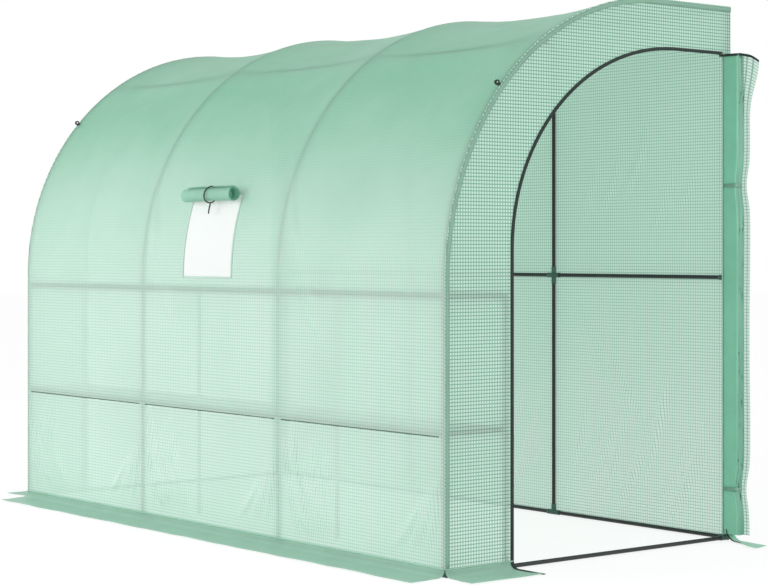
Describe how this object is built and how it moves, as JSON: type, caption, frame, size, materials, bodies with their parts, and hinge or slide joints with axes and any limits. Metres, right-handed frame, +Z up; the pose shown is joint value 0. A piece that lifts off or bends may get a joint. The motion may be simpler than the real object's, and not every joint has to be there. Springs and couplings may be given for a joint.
{
  "type": "lean-to plastic greenhouse",
  "caption": "Walk-in lean-to greenhouse: a curved steel-tube frame under a green reinforced plastic cover, with open flap doors at both ends, a netted window and inner shelves.",
  "frame": {"origin": "on the ground, at the middle of the length and of the whole depth with its skirts", "axes": "+X along the wall towards the right end, +Y towards the wall, +Z up"},
  "size_m": [3.48, 1.672, 2.125],
  "materials": {
    "steel_tube": "semi-gloss powder coat",
    "plastic_fitting": "matte",
    "reinforced_sheet": "translucent coated mesh",
    "folded_sheet": "translucent coated sheet, doubled",
    "zip_tape": "woven tape",
    "insect_net": "fine net",
    "black_cord": "braided cord"
  },
  "bodies": {
    "root": {"hoop_1": "steel_tube", "hoop_2": "steel_tube", "hoop_3": "steel_tube", "hoop_4": "steel_tube", "rear_posts": "steel_tube", "base_rail_front": "steel_tube", "base_rail_rear": "steel_tube", "base_rails_end": "steel_tube", "top_rail_rear": "steel_tube", "mid_rails_rear": "steel_tube", "mid_rails_front": "steel_tube", "eave_purlin": "steel_tube", "staging_posts": "steel_tube", "staging_rails_inner": "steel_tube", "staging_rails_low_front": "steel_tube", "staging_rails_cross": "steel_tube", "shelf_top": "steel_tube", "shelf_low": "steel_tube", "base_fittings": "plastic_fitting", "rear_fittings": "plastic_fitting", "front_fittings": "plastic_fitting", "staging_fittings": "plastic_fitting", "purlin_clips": "plastic_fitting", "staging_feet": "plastic_fitting", "front_sheet": "reinforced_sheet", "eave_sheet_left": "reinforced_sheet", "eave_sheet_middle": "reinforced_sheet", "eave_sheet_right": "reinforced_sheet", "top_sheet": "reinforced_sheet", "rear_sheet": "reinforced_sheet", "right_end_panel": "reinforced_sheet", "right_end_arch": "reinforced_sheet", "right_end_strip": "reinforced_sheet", "left_end_panel": "reinforced_sheet", "left_end_arch": "reinforced_sheet", "left_end_strip": "reinforced_sheet", "front_skirt": "folded_sheet", "end_skirts": "folded_sheet", "flap_skirts": "folded_sheet", "door_tapes": "zip_tape", "right_door_flap": "folded_sheet", "left_door_flap": "folded_sheet", "flap_ties": "folded_sheet", "window_net": "insect_net", "window_roll": "folded_sheet", "window_tie": "black_cord", "guy_loops": "black_cord"}
  },
  "joints": []
}
